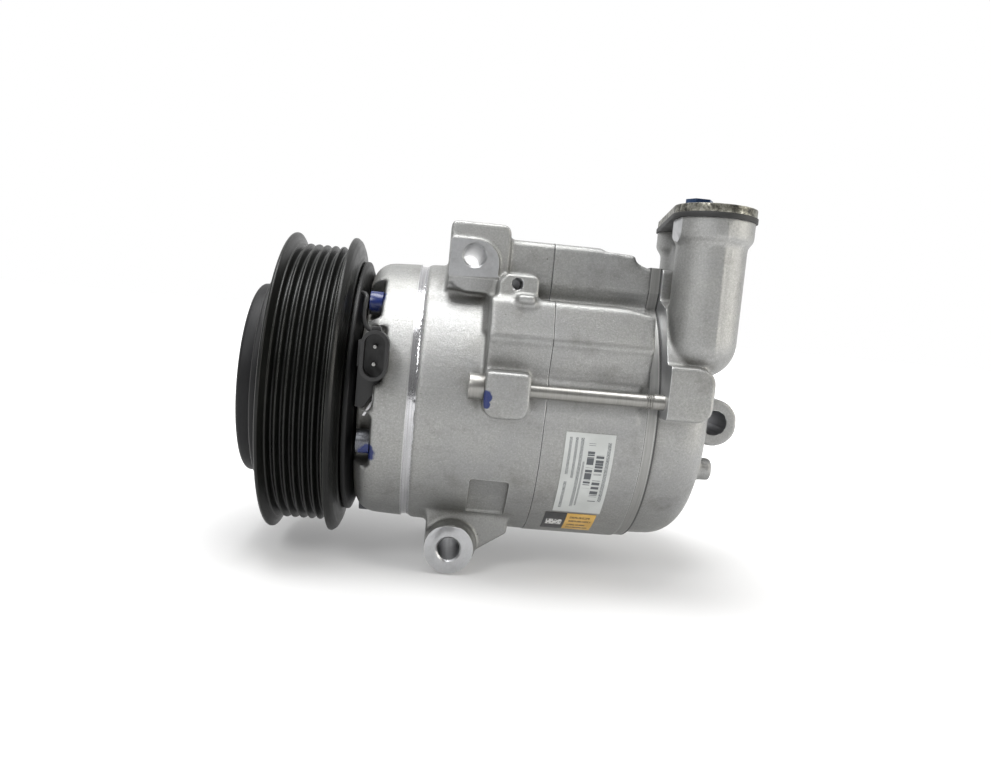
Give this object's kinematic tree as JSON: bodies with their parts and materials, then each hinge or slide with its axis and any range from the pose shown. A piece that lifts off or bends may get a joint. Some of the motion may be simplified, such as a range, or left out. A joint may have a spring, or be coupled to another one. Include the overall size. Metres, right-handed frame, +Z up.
{
  "type": "automotive air conditioning compressor",
  "caption": "Clutch-driven swash plate compressor with a ribbed belt pulley, cast aluminium casings, mounting ears and capped refrigerant ports on top.",
  "frame": {"origin": "on the shaft axis at the middle of the belt track", "axes": "+X along the shaft towards the rear head, +Z up towards the ports, -Y towards the coil connector and the open ends of the ear bores"},
  "size_m": [0.2065, 0.1335, 0.1617],
  "materials": {
    "cast": "fine cast grain, machined faces brighter",
    "hub_black": "matte black",
    "rubber": "matte",
    "armature": "dark phosphate",
    "pulley_paint": "semi-gloss black",
    "coil_black": "satin black",
    "connector_plastic": "moulded",
    "steel": "ground",
    "bearing_steel": "ground bright",
    "copper": "varnished copper",
    "tin_pins": "tin plated",
    "gasket": "coated steel sheet",
    "sheet_steel": "rolled sheet",
    "bolt_blue": "steel with blue paint marks",
    "bolt_bright": "bright plated",
    "valve_body": "yellow passivated",
    "brass": "turned brass",
    "zinc_plate": "zinc plated, slightly yellow",
    "dark_blue_bolt": "dark blue coated",
    "label_white": "printed paper film",
    "sticker_orange": "printed film",
    "piston_alloy": "turned with dark coating"
  },
  "bodies": {
    "root": {"front_housing": "cast", "crankcase": "cast", "cylinder_block": "cast", "rear_head": "cast", "pulley_bearing_inner": "bearing_steel", "nose_snap_ring": "steel", "coil_body": "coil_black", "coil_winding": "copper", "coil_snap_ring": "steel", "coil_connector": "connector_plastic", "connector_pins": "tin_pins", "front_o_ring": "rubber", "mid_gasket": "gasket", "block_gasket": "gasket", "suction_reeds": "sheet_steel", "valve_plate": "sheet_steel", "discharge_reeds": "sheet_steel", "head_gasket": "gasket", "through_bolts": "bolt_blue", "side_bolt": "bolt_bright", "control_valve": "valve_body", "relief_valve": "brass", "label": "label_white", "sticker": "sticker_orange", "shaft_seal": "rubber", "front_needle_bearing": "bearing_steel", "front_thrust_bearing": "bearing_steel", "rear_needle_bearing": "bearing_steel", "rear_thrust_washer": "steel"},
    "pulley": {"pulley": "pulley_paint", "pulley_bearing_outer": "bearing_steel", "bearing_snap_ring": "steel"},
    "balls": {"pulley_bearing_balls": "bearing_steel"},
    "shaft": {"drive_shaft": "steel", "lug_plate": "steel", "clutch_hub": "hub_black", "hub_damper": "rubber", "hub_nut": "steel", "destroke_spring": "steel"},
    "armature": {"armature_plate": "armature", "hub_drum": "hub_black", "armature_rivets": "steel"},
    "sleeve": {"swash_sleeve": "steel"},
    "swash": {"swash_plate": "steel"},
    "cover": {"transport_plate": "zinc_plate", "transport_gasket": "rubber", "transport_bolt": "dark_blue_bolt"},
    "piston_1_body": {"piston_1": "piston_alloy"},
    "shoes_1_body": {"shoes_1": "steel"},
    "piston_2_body": {"piston_2": "piston_alloy"},
    "shoes_2_body": {"shoes_2": "steel"},
    "piston_3_body": {"piston_3": "piston_alloy"},
    "shoes_3_body": {"shoes_3": "steel"},
    "piston_4_body": {"piston_4": "piston_alloy"},
    "shoes_4_body": {"shoes_4": "steel"},
    "piston_5_body": {"piston_5": "piston_alloy"},
    "shoes_5_body": {"shoes_5": "steel"},
    "piston_6_body": {"piston_6": "piston_alloy"},
    "shoes_6_body": {"shoes_6": "steel"}
  },
  "joints": [
    {"name": "pulley_spin", "type": "hinge", "parent": "root", "child": "pulley", "pos_m": [0, 0, 0], "axis": [1, 0, 0], "continuous": true},
    {"name": "ball_cage_spin", "type": "hinge", "parent": "root", "child": "balls", "pos_m": [0, 0, 0], "axis": [1, 0, 0], "continuous": true},
    {"name": "shaft_spin", "type": "hinge", "parent": "root", "child": "shaft", "pos_m": [0, 0, 0], "axis": [1, 0, 0], "range_deg": [-360, 360]},
    {"name": "armature_slide", "type": "slide", "parent": "shaft", "child": "armature", "axis": [1, 0, 0], "range_m": [0, 0.0005], "stiffness_N_per_m": 4000, "springref_m": -0.0003},
    {"name": "swash_tilt", "type": "hinge", "parent": "sleeve", "child": "swash", "pos_m": [0.078, 0, 0], "axis": [0, 1, 0], "range_deg": [0, 16], "stiffness_Nm_per_rad": 2, "springref_deg": -5.73},
    {"name": "sleeve_slide", "type": "slide", "parent": "shaft", "child": "sleeve", "axis": [1, 0, 0], "range_m": [-0.01031, 0], "deforming": ["destroke_spring"]},
    {"name": "piston_1_slide", "type": "slide", "parent": "root", "child": "piston_1_body", "axis": [1, 0, 0], "range_m": [-0.00765, 0]},
    {"name": "shoes_1_tilt", "type": "hinge", "parent": "piston_1_body", "child": "shoes_1_body", "pos_m": [0.078, -0.03429, 0.00919], "axis": [0, 1, 0], "range_deg": [0, 17]},
    {"name": "piston_2_slide", "type": "slide", "parent": "root", "child": "piston_2_body", "axis": [1, 0, 0], "range_m": [-0.00036, 0]},
    {"name": "shoes_2_tilt", "type": "hinge", "parent": "piston_2_body", "child": "shoes_2_body", "pos_m": [0.078, -0.00919, 0.03429], "axis": [0, 1, 0], "range_deg": [0, 17]},
    {"name": "piston_3_slide", "type": "slide", "parent": "root", "child": "piston_3_body", "axis": [1, 0, 0], "range_m": [-0.00303, 0]},
    {"name": "shoes_3_tilt", "type": "hinge", "parent": "piston_3_body", "child": "shoes_3_body", "pos_m": [0.078, 0.0251, 0.0251], "axis": [0, 1, 0], "range_deg": [0, 17]},
    {"name": "piston_4_slide", "type": "slide", "parent": "root", "child": "piston_4_body", "axis": [1, 0, 0], "range_m": [-0.01299, 0]},
    {"name": "shoes_4_tilt", "type": "hinge", "parent": "piston_4_body", "child": "shoes_4_body", "pos_m": [0.078, 0.03429, -0.00919], "axis": [0, 1, 0], "range_deg": [0, 17]},
    {"name": "piston_5_slide", "type": "slide", "parent": "root", "child": "piston_5_body", "axis": [1, 0, 0], "range_m": [-0.02029, 0]},
    {"name": "shoes_5_tilt", "type": "hinge", "parent": "piston_5_body", "child": "shoes_5_body", "pos_m": [0.078, 0.00919, -0.03429], "axis": [0, 1, 0], "range_deg": [0, 17]},
    {"name": "piston_6_slide", "type": "slide", "parent": "root", "child": "piston_6_body", "axis": [1, 0, 0], "range_m": [-0.01762, 0]},
    {"name": "shoes_6_tilt", "type": "hinge", "parent": "piston_6_body", "child": "shoes_6_body", "pos_m": [0.078, -0.0251, -0.0251], "axis": [0, 1, 0], "range_deg": [0, 17]},
    {"name": "cover_lift", "type": "slide", "parent": "root", "child": "cover", "axis": [0, 0, 1], "range_m": [0, 0.04]}
  ],
  "couplings": [
    {"joint": "ball_cage_spin", "follows": "pulley_spin", "ratio": 0.5667},
    {"joint": "sleeve_slide", "follows": "swash_tilt", "m_per_rad": -0.03621},
    {"joint": "piston_1_slide", "follows": "swash_tilt", "m_per_rad": -0.026838},
    {"joint": "shoes_1_tilt", "follows": "swash_tilt", "ratio": 1},
    {"joint": "piston_2_slide", "follows": "swash_tilt", "m_per_rad": -0.001234},
    {"joint": "shoes_2_tilt", "follows": "swash_tilt", "ratio": 1},
    {"joint": "piston_3_slide", "follows": "swash_tilt", "m_per_rad": -0.010606},
    {"joint": "shoes_3_tilt", "follows": "swash_tilt", "ratio": 1},
    {"joint": "piston_4_slide", "follows": "swash_tilt", "m_per_rad": -0.045582},
    {"joint": "shoes_4_tilt", "follows": "swash_tilt", "ratio": 1},
    {"joint": "piston_5_slide", "follows": "swash_tilt", "m_per_rad": -0.071186},
    {"joint": "shoes_5_tilt", "follows": "swash_tilt", "ratio": 1},
    {"joint": "piston_6_slide", "follows": "swash_tilt", "m_per_rad": -0.061814},
    {"joint": "shoes_6_tilt", "follows": "swash_tilt", "ratio": 1}
  ]
}
